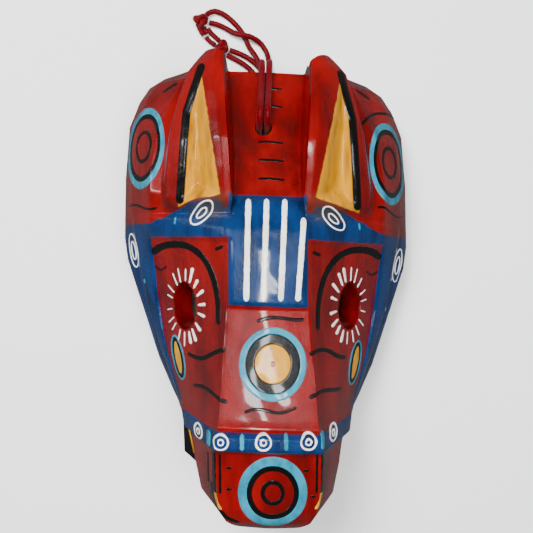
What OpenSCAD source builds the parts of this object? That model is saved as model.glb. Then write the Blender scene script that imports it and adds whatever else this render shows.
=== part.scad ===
// Carved wooden horse mask with a hanging cord.
// The mask lies on its back: X is across the face, Y runs up to the ears, Z points out of the face.
// Z = 0 is the plane of the back rim, and the origin is under the middle of the mask's box.

/* [Head] */
// Length from the muzzle to the ear tips
head_length = 250; // [208:1:300]
// Width over the cheeks behind the eyes
head_width = 171; // [142:1:200]
// Depth from the back rim to the front of the noseband
head_depth = 118; // [105:1:140]
// How much lower the right side is carved than the left, between the two cheeks
side_drop = 6; // [0:0.5:10]

/* [Walls] */
// Wood left at the back rim
rim_wall = 15; // [10:0.5:20]
// Wood left behind the eye panels
panel_wall = 11; // [8:0.5:14]
// Wood left behind the nose and the forehead
crown_wall = 18; // [12:0.5:24]

/* [Eyes and cord hole] */
// Diameter of each eye hole
eye_hole_d = 25; // [18:0.5:30]
// Distance between the middles of the two eye holes
eye_spacing = 90; // [80:1:98]
// Diameter of the hole that the hanging cord runs through
cord_hole_d = 9.5; // [8:0.5:12]
// Height of the notch that lets the cord out under the top rim
cord_notch_h = 10; // [6:0.5:14]
// Width of that notch
cord_notch_w = 30; // [16:1:36]

/* [Carved relief] */
// How far the browband, the cheek straps and the forelock stand proud
strap_relief = 2.5; // [1:0.25:4]
// How far the noseband stands proud
noseband_relief = 5; // [2:0.25:6]
// Width of the noseband
noseband_w = 9; // [7:0.5:12]
// Width of the browband
browband_w = 14; // [10:0.5:18]
// Width of the forelock panel
forelock_w = 39; // [30:1:40]
// Depth of the gouged hollow in each ear
ear_hollow_depth = 9; // [3:0.5:12]
// How much the flat faces bulge in the middle, as the knife leaves them
face_bulge = 1; // [0.4:0.1:2]

/* [Mouth] */
// Thickness of the lower jaw
jaw_h = 44; // [34:1:48]
// Height of the mouth between the jaw and the muzzle
mouth_gap = 11; // [6:0.5:14]
// Depth of the mouth, from the front of the jaw
mouth_depth = 21; // [12:1:26]

/* [Cord] */
// Diameter of each strand of the cord
cord_d = 3.5; // [3:0.1:4]
// Diameter of the knot that ties the ends of the loop
end_knot_d = 10.5; // [9:0.5:12]
// Diameter of the knot part of the way down the loop
mid_knot_d = 9.5; // [8:0.5:11]

/* [Hidden] */
$fn = 48;
tiny = 0.01;
step = 0.4; // half the width of the sloped side of a raised strap

// The carving is drawn for this size and stretched to the size that is set.
drawn_length = 248;
drawn_half_width = 85.6;
drawn_depth = 118;
sx = head_width / 2 / drawn_half_width;
sy = head_length / drawn_length;
sz = head_depth / drawn_depth;
end_y = drawn_length / 2;

// Heights and half widths of the drawn head along Y, each a list of [y, value].
crown_z = [[-124, 90], [-121, 98], [-117, 104], [-110, 107.5], [-94, 109], [-80, 112], [-65, 111],
           [-40, 106], [-12, 101.5], [12, 100.5], [30, 98], [48, 88], [82, 64], [124, 46]];
crown_x = [[-124, 8], [-121, 16], [-117, 21], [-110, 24.5], [-94, 26], [-80, 26.5], [-65, 24.5],
           [-12, 21], [124, 21]];
panel_x = [[-124, 12], [-121, 22], [-117, 29], [-110, 36], [-94, 39.5], [-82, 42], [-78, 46], [-65, 49],
           [-40, 57], [-12, 62], [12, 64], [30, 65], [60, 64], [82, 60], [100, 54], [115, 48], [124, 36]];
panel_z = [[-124, 72], [-94, 70], [-82, 62], [-65, 50], [-40, 45], [-12, 43], [12, 50], [30, 62],
           [48, 70], [82, 67], [100, 58], [115, 50], [124, 41]];
strap_x = [[-124, 13], [-121, 23], [-117, 30], [-110, 37], [-94, 40.5], [-82, 45], [-65, 53], [-40, 63],
           [-12, 72], [12, 76], [30, 78], [60, 78], [82, 75], [106, 69], [115, 63], [124, 46]];
strap_z = [[-124, 60], [-94, 56], [-82, 46], [-65, 34], [-40, 32], [-12, 30], [12, 34], [30, 40],
           [48, 44], [82, 46], [106, 40], [124, 34]];
cheek_x = [[-124, 14], [-121, 24], [-117, 31], [-110, 38], [-94, 42], [-82, 48], [-65, 56.5], [-46, 64.8],
           [-10, 76.6], [12, 83.8], [25, 85.6], [61, 85], [91, 82.6], [106, 76.6], [115, 70.6],
           [121, 61.6], [124, 50]];
cheek_z = 24;
rim_in = 2; // the rim stands this far inside the widest part of the cheek
ear_ridge_z = [[36, 96], [44, 99], [60, 101], [75, 101], [100, 95], [115, 89], [124, 85]];
ear_edge_z = [[36, 70], [44, 77], [75, 79], [124, 77]];

// Columns of the carving from the crown's edge to the edge of the eye panel, as shares of that slope.
ear_foot = 0.02;
ear_ridge = 0.08;
hollow_inner = 0.17;
hollow_mid = 0.45;
hollow_outer = 0.76;
ear_edge = 0.90;
ear_outer_foot = 0.97;
slope_columns = [ear_foot, ear_ridge, hollow_inner, hollow_mid, hollow_outer, ear_edge, ear_outer_foot];
ear_from_y = 37;
ear_full_y = 44;
hollow_from_y = 46;
hollow_to_y = 106;

noseband_y = -79.5;
browband_y = 22;
forelock_from_y = -9.5;
forelock_to_y = 48;
cheek_strap_from_y = -70;
eye_y = -11.7;
cord_hole_x = -2;
cord_hole_y = 86.4;
top_wall_y = 102;
chin_y = -72;
jaw_front_y = -113;
jaw_back_y = -76;
jaw_shift_x = -4;

noseband_to_y = noseband_y + noseband_w / sy;
browband_to_y = browband_y + browband_w / sy;

// Places along Y where the head's outline or a strap changes.
function edge_pair(y) = [y - step, y + step];
stations = [-124, -121, -117, -110, -100, -94, -86, each edge_pair(noseband_y), noseband_to_y,
            noseband_to_y + 2.5, -55, -40, -25, each edge_pair(forelock_from_y), 2, 12,
            each edge_pair(browband_y), 29, browband_to_y, browband_to_y + 2 * step,
            ear_full_y, each edge_pair(forelock_to_y), 60, 72, 82, 92, 100, 106, 111, 115, 119, 122, 124];

function within(y, low, high) = y > low && y < high ? 1 : 0;
function blend(a, b, t) = a + (b - a) * t;
function ramp(y, low, high) = max(0, min(1, (y - low) / (high - low)));

function noseband_on(y) = within(y, noseband_y, noseband_to_y + 0.01);
function browband_on(y) = within(y, browband_y, browband_to_y + 0.01);
function forelock_on(y) = within(y, forelock_from_y, forelock_to_y);
function cheek_strap_on(y) = within(y, cheek_strap_from_y, browband_to_y + 0.01);
function relief(y, strap) = max(noseband_on(y) * noseband_relief, strap * strap_relief) / sz;

// Height of the ear above the plain slope, at the share f of the slope's width.
function ear_z(y, f) =
    blend(lookup(y, ear_ridge_z), lookup(y, ear_edge_z), (f - ear_ridge) / (ear_edge - ear_ridge))
    - (f == hollow_mid ? ear_hollow_depth / sz * within(y, hollow_from_y, hollow_to_y) : 0);
function bulge(t) = face_bulge / sz * (1 - t * t);
function slope_z(y, f) = blend(lookup(y, crown_z), lookup(y, panel_z), f) + bulge(2 * f - 1);
function on_ear(f) = f >= ear_ridge && f <= ear_edge;
function carved_z(y, f) = on_ear(f)
    ? blend(slope_z(y, f), ear_z(y, f), ramp(y, ear_from_y, ear_full_y))
    : slope_z(y, f);

// The right half of the head's section at y, as [x, z] from the middle out to the back rim.
function half_section(y) = let (
        forelock_x = forelock_w / 2 / sx,
        x1 = lookup(y, crown_x),
        x2 = lookup(y, panel_x),
        x3 = lookup(y, strap_x),
        x4 = lookup(y, cheek_x),
        z1 = lookup(y, crown_z),
        z2 = lookup(y, panel_z),
        z3 = lookup(y, strap_z),
        mid_x = min(forelock_x, x1 - 1),
        strap_share = step / (x3 - x2),
        strap_bulge = bulge(0) / 3
    ) [
        [0, z1 + bulge(0) + relief(y, forelock_on(y))],
        [mid_x - step, z1 + bulge((mid_x - step) / x1) + relief(y, forelock_on(y))],
        [mid_x + step, z1 + bulge((mid_x + step) / x1) + relief(y, browband_on(y))],
        [x1, z1 + relief(y, browband_on(y))],
        each [for (f = slope_columns) [blend(x1, x2, f), carved_z(y, f) + relief(y, browband_on(y))]],
        [x2, z2 + relief(y, browband_on(y))],
        [x2 + step, blend(z2, z3, strap_share) + strap_bulge + relief(y, cheek_strap_on(y))],
        [x3 - step, blend(z3, z2, strap_share) + strap_bulge + relief(y, cheek_strap_on(y))],
        [x3, z3 + relief(y, 0)],
        [x4, cheek_z],
        [x4 - rim_in, 0]
    ];

// The whole section, from the left rim over the face to the right rim.
function mirrored(half) = concat(
    [for (i = [len(half) - 1:-1:1]) [-half[i][0], half[i][1]]],
    half
);

// Stretches a drawn point to the set size and drops the right side.
drop_slope = side_drop / head_width;
top_corner_x = lookup(end_y, cheek_x) * sx;
muzzle_corner_x = lookup(-end_y, cheek_x) * sx;
centring = drop_slope * (top_corner_x - muzzle_corner_x) / 2;
function placed(x, y, z) = [x * sx, y * sy - drop_slope * x * sx - centring, z * sz];

// Closed skin over a list of sections, each a list of points in the same order. The ends are flat. With
// fanned, each end is split from two points inside it, as an outline with ears and a dip between needs.
apex_share = 0.6;
apex_rise = 0.4;
function apex(s, corner) = let (n = len(s), foot = (s[0] + s[n - 1]) / 2)
    foot + apex_share * (corner - foot) + apex_rise * (s[(n - 1) / 2] - foot);
function fan(n, first, left, right) = concat(
    [for (i = [0:n - 2]) [first + i, first + i + 1, i < (n - 1) / 2 ? left : right]],
    [[first + n - 1, first, left], [left, first + (n - 1) / 2, right], [left, right, first + n - 1]]
);
function turned(faces) = [for (f = faces) [for (i = [len(f) - 1:-1:0]) f[i]]];
module loft(sections, fanned = false) {
    n = len(sections[0]);
    rows = len(sections);
    low = sections[0];
    high = sections[rows - 1];
    skin = [for (s = sections) each s];
    inner = [apex(low, low[0]), apex(low, low[n - 1]), apex(high, high[0]), apex(high, high[n - 1])];
    side = [for (r = [0:rows - 2], i = [0:n - 1]) let (
                a = r * n + i, b = r * n + (i + 1) % n, c = a + n, d = b + n
            ) each [[a, c, b], [b, c, d]]];
    k = rows * n;
    ends = fanned
        ? concat(fan(n, 0, k, k + 1), turned(fan(n, k - n, k + 2, k + 3)))
        : concat([[for (i = [0:n - 1]) i]], turned([[for (i = [0:n - 1]) k - n + i]]));
    polyhedron(fanned ? concat(skin, inner) : skin, concat(side, ends), convexity = 8);
}

module head_blank() {
    loft([for (y = stations) [for (p = mirrored(half_section(y))) placed(p[0], y, p[1])]], fanned = true);
}

// The hollow for the wearer's face: the same section, moved in by the walls.
inside_stations = [-72, -64, -52, -36, -12, 12, 30, 48, 66, 82, 94, 102];
inside_z = [[-72, 52], [-64, 66], [-52, 78], [-36, 84], [102, 84]];
function inside_half(y) = let (
        x1 = lookup(y, crown_x),
        x2 = lookup(y, panel_x),
        x4 = lookup(y, cheek_x) - rim_in - rim_wall / sx,
        top_z = min(lookup(y, crown_z) - crown_wall / sz, lookup(y, inside_z)),
        panel_normal = unit([lookup(y, crown_z) - lookup(y, panel_z), x2 - x1]),
        edge = [x2 - panel_wall * panel_normal[0], lookup(y, panel_z) - panel_wall * panel_normal[1]],
        lean = panel_normal[0] / max(panel_normal[1], 0.2),
        edge_z = min(edge[1], top_z - 2),
        edge_x = min(edge[0], x4 - 2),
        top_x = max(6, edge_x - max(top_z - edge_z, 2) / max(lean, 0.4))
    ) [[0, top_z + bulge(0)], [top_x, top_z], [edge_x, edge_z], [x4, min(cheek_z, edge_z - 1)], [x4, -5]];
function unit(v) = v / norm(v);

module face_hollow() {
    loft([for (y = inside_stations) [for (p = mirrored(inside_half(y))) placed(p[0], y, p[1])]],
         fanned = true);
}

// An eye hole is drilled square to its panel, and the drill runs past both of its faces.
drill_past_back = 8;
drill_past_front = 14;
module eye_hole(side) {
    x = eye_spacing / 2;
    y = eye_y * sy;
    x1 = lookup(eye_y, crown_x) * sx;
    x2 = lookup(eye_y, panel_x) * sx;
    z1 = lookup(eye_y, crown_z) * sz;
    z2 = lookup(eye_y, panel_z) * sz;
    z = blend(z1, z2, (x - x1) / (x2 - x1));
    tilt = atan2(z1 - z2, x2 - x1);
    translate([side * x, y, z])
        rotate([0, side * tilt, 0])
            translate([0, 0, -panel_wall - drill_past_back])
                cylinder(h = drill_past_back + panel_wall + drill_past_front, d = eye_hole_d);
}

module cord_hole() {
    translate([cord_hole_x, cord_hole_y * sy, 20])
        cylinder(h = head_depth, d = cord_hole_d);
}

module cord_notch() {
    y = (top_wall_y - 4) * sy;
    translate([cord_hole_x - cord_notch_w / 2, y, -tiny])
        cube([cord_notch_w, head_length / 2, cord_notch_h + tiny]);
}

module lower_jaw() {
    outline = [[49, jaw_back_y], [48.5, -99], [44, -105], [32, -110.5], [16, jaw_front_y]];
    left = [for (i = [len(outline) - 1:-1:0]) [-outline[i][0], outline[i][1]]];
    linear_extrude(height = jaw_h)
        polygon([for (p = concat(outline, left)) [(p[0] + jaw_shift_x) * sx, p[1] * sy]]);
}

module under_muzzle() {
    y = (jaw_front_y + mouth_depth) * sy;
    translate([-head_width / 2, y - head_length / 2, -1])
        cube([head_width, head_length / 2, jaw_h + mouth_gap + 1]);
}

module carved_head() {
    color("firebrick")
        difference() {
            union() {
                difference() {
                    head_blank();
                    under_muzzle();
                }
                lower_jaw();
            }
            face_hollow();
            eye_hole(-1);
            eye_hole(1);
            cord_hole();
            cord_notch();
        }
}

// The strands of the cord. Each runs from the middle knot under the top rim, up through the cord hole,
// over the forehead and round the loop to the end knot.
left_route = [[-24.4, 144.2, 2], [-18, 141, 2], [-12.6, 137.6, 2], [-7.8, 133, 2], [-5, 127.5, 2],
              [-4.1, 121, 2], [-4.1, 114, 2], [-4.2, 107.5, 3.2], [-4.2, 101.5, 7], [-4.2, 96.5, 14],
              [-4.2, 92.4, 22.5], [-4.2, 89.4, 32], [-4.2, 87.6, 42], [-4.2, 87, 52], [-4.2, 87.2, 60],
              [-4.1, 89.8, 65.8], [-3.9, 95.4, 67.6], [-3.5, 101.2, 64.4], [-3.1, 107.2, 59.2],
              [-2.8, 113.4, 55], [-2.6, 119, 52.2], [-2.5, 123.4, 50.4], [-2.5, 127.2, 46.8],
              [-2.6, 129.2, 41.2], [-2.7, 129.8, 33], [-2.8, 130, 24], [-2.9, 130.6, 16],
              [-3.2, 132.8, 10.2], [-3.9, 136.8, 6.8], [-5.4, 141, 5.8], [-8, 145.4, 4.4],
              [-10.8, 150, 2.4], [-13, 155.4, 2], [-16.4, 160.8, 2], [-21, 165.8, 2], [-26, 169.8, 2],
              [-31.4, 172, 2], [-35.2, 171.2, 2.2], [-37.5, 169.2, 3.2]];
right_route = [[-22.6, 147.4, 2.2], [-16, 145, 2], [-10, 141.8, 2], [-4.6, 137, 2], [-1, 131, 2],
               [0.2, 124, 2], [0.4, 116, 2], [0.3, 108.5, 3.2], [0.2, 101.5, 7], [0.2, 96.5, 14],
               [0.2, 92.4, 22.5], [0.2, 89.4, 32], [0.2, 87.6, 42], [0.2, 87, 52], [0.2, 87.2, 60],
               [0.2, 89.8, 65.8], [0.3, 95.4, 67.6], [0.6, 101.2, 64.4], [0.9, 107.2, 59.2],
               [1.2, 113.4, 55], [1.4, 119, 52.2], [1.6, 123.4, 50.4], [1.8, 127.2, 46.8],
               [1.8, 129.2, 41.2], [1.8, 129.8, 33], [1.8, 130, 24], [1.8, 130.6, 16],
               [1.9, 132.8, 9.4], [2, 137, 5.2], [1.8, 142, 2.6], [0.2, 147, 2], [-3.6, 152, 3],
               [-9.2, 154.8, 5.4], [-14.6, 155.8, 6], [-20, 157.8, 4.2], [-25.2, 161.2, 2.2],
               [-30.4, 163.6, 2], [-35.6, 164.6, 2.8]];
// Two short strands join the two knots.
link_routes = [[[-37.6, 155.4, 2.2], [-35.6, 153.2, 2], [-33.4, 151.6, 2], [-32, 150.6, 2.2]],
               [[-36.4, 161, 2.2], [-34.8, 158.6, 2], [-32.4, 156.2, 2], [-30.2, 154.2, 2.2],
                [-29.4, 153.4, 2.6]]];

// A tube of eight sides along a route, with one ring at each of its points.
cord_sides = 8;
function along(route, i) = unit(route[min(i + 1, len(route) - 1)] - route[max(i - 1, 0)]);
function across(dir) = unit(cross(dir, abs(dir[2]) > 0.9 ? [1, 0, 0] : [0, 0, 1]));
// Each ring's first direction is the last one's, turned as little as the bend needs.
function carried(route, i) = i == 0
    ? across(along(route, 0))
    : let (before = carried(route, i - 1), dir = along(route, i)) unit(before - dir * (before * dir));
function ring(at, dir, side) = let (up = cross(dir, side)) [for (k = [0:cord_sides - 1])
    at + cord_d / 2 * (side * cos(360 * k / cord_sides) + up * sin(360 * k / cord_sides))];

module strand(route) {
    loft([for (i = [0:len(route) - 1]) ring(route[i], along(route, i), carried(route, i))]);
}

module cord_strand_left() {
    color("darkred") strand(left_route);
}

module cord_strand_right() {
    color("darkred") strand(right_route);
}

module knot_link() {
    color("darkred")
        for (route = link_routes)
            strand(route);
}

end_knot_at = [-41, 164.9];
mid_knot_at = [-27.2, 148.9];
tail_share = 0.62; // the cut ends beside the end knot, as a share of its diameter
tail_shift_x = 0.6;

module end_knot() {
    tail_d = end_knot_d * tail_share;
    tail_y = end_knot_at[1] - end_knot_d / 2 - tail_d / 4;
    color("darkred")
        union() {
            translate([end_knot_at[0], end_knot_at[1], end_knot_d / 2])
                sphere(d = end_knot_d);
            translate([end_knot_at[0] + tail_shift_x, tail_y, tail_d / 2])
                sphere(d = tail_d);
        }
}

module mid_knot() {
    color("darkred")
        translate([mid_knot_at[0], mid_knot_at[1], mid_knot_d / 2])
            sphere(d = mid_knot_d);
}

carved_head();
cord_strand_left();
cord_strand_right();
end_knot();
mid_knot();
knot_link();
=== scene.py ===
"""A carved and painted wooden horse mask lying on its back, with its knotted hanging cord.

Shapes are worked out in millimetres and turned to metres where each mesh is made. X runs across the
face, Y up to the ears and Z out of the face, and the back rim lies on Z = 0.
"""
import bmesh
import bpy
import numpy as np
from mathutils import Matrix, Vector


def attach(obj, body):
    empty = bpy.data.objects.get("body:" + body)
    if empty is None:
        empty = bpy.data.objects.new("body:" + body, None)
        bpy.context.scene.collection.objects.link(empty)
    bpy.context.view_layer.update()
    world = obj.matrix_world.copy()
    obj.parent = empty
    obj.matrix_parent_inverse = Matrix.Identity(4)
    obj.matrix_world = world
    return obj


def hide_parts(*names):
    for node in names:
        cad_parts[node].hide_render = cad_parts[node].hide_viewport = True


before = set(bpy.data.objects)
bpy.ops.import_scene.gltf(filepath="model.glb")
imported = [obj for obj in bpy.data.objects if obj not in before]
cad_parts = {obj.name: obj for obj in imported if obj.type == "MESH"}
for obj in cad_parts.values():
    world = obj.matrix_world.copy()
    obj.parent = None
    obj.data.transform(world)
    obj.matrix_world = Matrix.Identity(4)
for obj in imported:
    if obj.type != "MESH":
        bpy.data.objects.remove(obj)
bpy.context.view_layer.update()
MM = 0.001


# ---------------------------------------------------------------- camera

def look(eye, target):
    """A camera at eye, aimed at target, with +Y up in the picture."""
    data = bpy.data.cameras.new("camera")
    data.sensor_width = 36
    data.lens = 50.8
    camera = bpy.data.objects.new("camera", data)
    bpy.context.scene.collection.objects.link(camera)
    ahead = np.array(target, float) - np.array(eye, float)
    ahead /= np.linalg.norm(ahead)
    right = np.cross(ahead, (0, 1, 0))
    right /= np.linalg.norm(right)
    turn = np.eye(4)
    turn[:3, 0], turn[:3, 1], turn[:3, 2], turn[:3, 3] = right, np.cross(right, ahead), -ahead, eye
    camera.matrix_world = Matrix(turn.tolist())
    bpy.context.scene.camera = camera


look((-0.0066, 0.010, 0.480), (0.0007, 0.010, 0.0))


# ---------------------------------------------------------------- small tools

def linear(hex_colour):
    """sRGB hex to linear RGBA."""
    c = np.array([int(hex_colour[i:i + 2], 16) for i in (1, 3, 5)]) / 255
    c = np.where(c <= 0.04045, c / 12.92, ((c + 0.055) / 1.055) ** 2.4)
    return (*c.tolist(), 1.0)


def mesh_object(name, points, faces):
    """A smooth mesh from points in millimetres and faces, riding on the one body."""
    mesh = bpy.data.meshes.new(name)
    mesh.from_pydata((np.asarray(points, float) * MM).tolist(), [], [tuple(f) for f in faces])
    mesh.update()
    mesh.shade_smooth()
    piece = bpy.data.objects.new(name, mesh)
    bpy.context.scene.collection.objects.link(piece)
    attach(piece, "root")
    return piece


def joined(parts):
    """Several (points, faces) as one, each part's faces counted on from the points before it."""
    points = np.concatenate([p for p, f in parts])
    starts = np.cumsum([0] + [len(p) for p, f in parts[:-1]])
    faces = [tuple(int(i) + int(s) for i in face) for (p, f), s in zip(parts, starts) for face in f]
    return points, faces


def grid_faces(rows, columns, closed_rows=False, closed_columns=False):
    """Quads of a grid of points laid out row by row."""
    r, c = np.meshgrid(np.arange(rows - (not closed_rows)), np.arange(columns - (not closed_columns)),
                       indexing="ij")
    r2, c2 = (r + 1) % rows, (c + 1) % columns
    quads = [r * columns + c, r * columns + c2, r2 * columns + c2, r2 * columns + c]
    return np.stack(quads, axis=-1).reshape(-1, 4).tolist()


def smoothstep(t):
    t = np.clip(t, 0, 1)
    return t * t * (3 - 2 * t)


def soften(field, times, axis):
    """Runs a 1-2-1 average along one direction of a grid, keeping its two edges."""
    field = np.moveaxis(np.array(field, float), axis, 0)
    for _ in range(times):
        field[1:-1] = (field[:-2] + 2 * field[1:-1] + field[2:]) / 4
    return np.moveaxis(field, 0, axis)


def lattice_noise(x, y, cell, seed):
    """Smooth noise from -1 to 1: seeded values on a square lattice, blended by smoothsteps between."""
    values = np.random.default_rng(seed).uniform(-1, 1, (64, 64))
    u, v = x / cell + 640, y / cell + 640
    i, j = np.floor(u).astype(int), np.floor(v).astype(int)
    s, t = smoothstep(u - i), smoothstep(v - j)
    low = values[i % 64, j % 64] * (1 - s) + values[(i + 1) % 64, j % 64] * s
    high = values[i % 64, (j + 1) % 64] * (1 - s) + values[(i + 1) % 64, (j + 1) % 64] * s
    return low * (1 - t) + high * t


def inside_by(x, y, outline):
    """How far a plan point lies inside a closed outline, or minus how far outside it."""
    ring = np.asarray(outline, float)
    nearest = np.full(np.shape(x), np.inf)
    inside = np.zeros(np.shape(x), bool)
    for (ax, ay), (bx, by) in zip(ring, np.roll(ring, -1, axis=0)):
        ex, ey = bx - ax, by - ay
        t = np.clip(((x - ax) * ex + (y - ay) * ey) / (ex * ex + ey * ey), 0, 1)
        nearest = np.minimum(nearest, np.hypot(x - ax - t * ex, y - ay - t * ey))
        if ay != by:
            inside ^= ((ay > y) != (by > y)) & (x < ax + (y - ay) * ex / ey)
    return np.where(inside, nearest, -nearest)


def smooth_path(points, spacing, closed=False):
    """A Catmull-Rom curve through the points, walked in equal steps."""
    p = np.asarray(points, float)
    if len(p) == 2 and not closed:
        p = np.array([p[0], (p[0] + p[1]) / 2, p[1]])
    if closed:
        ends = np.vstack([p[-1:], p, p[:2]])
    else:
        ends = np.vstack([2 * p[0] - p[1], p, 2 * p[-1] - p[-2]])
    t = np.linspace(0, 1, 24, endpoint=False)[:, None]
    a, b, c, d = ends[:-3], ends[1:-2], ends[2:-1], ends[3:]
    a, b, c, d = (q[:, None, :] for q in (a, b, c, d))
    walk = 0.5 * (2 * b + (c - a) * t + (2 * a - 5 * b + 4 * c - d) * t ** 2
                  + (3 * b - a - 3 * c + d) * t ** 3)
    walk = np.vstack([walk.reshape(-1, p.shape[1]), p[0] if closed else p[-1]])
    run = np.concatenate([[0], np.cumsum(np.linalg.norm(np.diff(walk, axis=0), axis=1))])
    count = max(int(round(run[-1] / spacing)), 3) + 1
    even = np.linspace(0, run[-1], count)
    path = np.stack([np.interp(even, run, walk[:, k]) for k in range(p.shape[1])], axis=1)
    return path[:-1] if closed else path


# ---------------------------------------------------------------- the carved shape

head_length, head_width, head_depth, side_drop = 250.0, 171.0, 118.0, 6.0
drawn_length, drawn_half_width = 248.0, 85.6
sx = head_width / 2 / drawn_half_width
sy = head_length / drawn_length
drop_slope = side_drop / head_width
rim_wall, panel_wall, crown_wall = 15, 11, 18
ear_hollow_depth = 9
cord_hole_x, cord_hole_y, cord_hole_r = -2, 86.4, 4.75
cord_notch_half, cord_notch_high, cord_notch_from_y = 15, 10, 98
jaw_high, mouth_gap, mouth_depth, muzzle_root_y = 44, 11, 21, -113
centring = drop_slope * (50 - 14) * sx / 2
end_y = drawn_length / 2

# Heights and half widths of the drawn head along Y, each as (y, value).
crown_z = [(-124, 90), (-121, 98), (-117, 104), (-110, 107.5), (-94, 109), (-80, 112), (-65, 111),
           (-40, 106), (-12, 101.5), (12, 100.5), (30, 98), (48, 88), (82, 64), (124, 46)]
crown_x = [(-124, 8), (-121, 16), (-117, 21), (-110, 24.5), (-94, 26), (-80, 26.5), (-65, 24.5),
           (-12, 21), (30, 20), (44, 17.5), (68, 18.5), (90, 20), (124, 22)]
panel_x = [(-124, 12), (-121, 22), (-117, 29), (-110, 36), (-94, 39.5), (-82, 42), (-78, 46), (-65, 49),
           (-40, 57), (-12, 62), (12, 64), (30, 65), (60, 64), (82, 60), (100, 54), (115, 48), (124, 36)]
panel_z = [(-124, 72), (-94, 70), (-82, 62), (-65, 50), (-40, 45), (-12, 43), (12, 50), (30, 62),
           (48, 70), (82, 67), (100, 58), (115, 50), (124, 41)]
strap_x = [(-124, 13), (-121, 23), (-117, 30), (-110, 37), (-94, 40.5), (-82, 45), (-65, 53), (-40, 63),
           (-12, 72), (12, 76), (30, 78), (60, 78), (82, 75), (106, 69), (115, 63), (124, 46)]
strap_z = [(-124, 60), (-94, 56), (-82, 46), (-65, 34), (-40, 32), (-12, 30), (12, 34), (30, 40),
           (48, 44), (82, 46), (106, 40), (124, 34)]
cheek_x = [(-124, 14), (-121, 24), (-117, 31), (-110, 38), (-94, 42), (-82, 48), (-65, 56.5),
           (-46, 64.8), (-10, 76.6), (12, 83.8), (25, 85.6), (61, 85), (91, 82.6), (106, 76.6),
           (115, 70.6), (121, 61.6), (124, 50)]
cheek_z, rim_in = 24.0, 2.0
ear_ridge_z = [(36, 96), (44, 99), (60, 101), (75, 101), (100, 95), (115, 89), (124, 85)]
ear_edge_z = [(36, 70), (44, 77), (75, 79), (124, 77)]
ear_ridge_x = [(36, 21.5), (48, 22.5), (68, 24), (90, 26), (124, 30)]
ear_edge_x = [(36, 56), (50, 55.5), (85, 51.5), (105, 48.5), (124, 45.5)]
noseband_y, noseband_to_y = -79.5, -70.6
browband_y, browband_to_y = 23.5, 36.0
forelock_half, forelock_from_y, forelock_to_y = 19.5, -9.5, 47.0
cheek_strap_from_y = -70.0
strap_relief, noseband_relief = 2.5, 5.0

# The gouged hollow of each ear in the plan: foot by the crown, tip, shoulder and outer foot, as
# (distance from the middle, y). The right ear leans out by ear_lean more than the left.
ear_foot_in, ear_foot_out, ear_shoulder, ear_tip = (24.0, 46.0), (48.0, 40.0), (44.0, 90.0), (35.0, 113.0)
ear_lean = 4.0


def ear_outline(side):
    """The corners of one ear's hollow, with the lean growing towards the tip."""
    lean = ear_lean * (side > 0)
    return [ear_foot_in, (ear_tip[0] + lean, ear_tip[1]), (ear_shoulder[0] + lean * 0.6, ear_shoulder[1]),
            (ear_foot_out[0] + lean * 0.4, ear_foot_out[1])]


def at(profile, y):
    """A profile's value at y, straight between its points."""
    ys, values = zip(*profile)
    return np.interp(y, ys, values)


def shares(*pieces):
    """Column positions: piece k runs from k to k + 1 in the given number of even steps."""
    runs = [k + np.arange(n) / n for k, n in enumerate(pieces)]
    return np.concatenate(runs + [[len(pieces)]])


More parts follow.
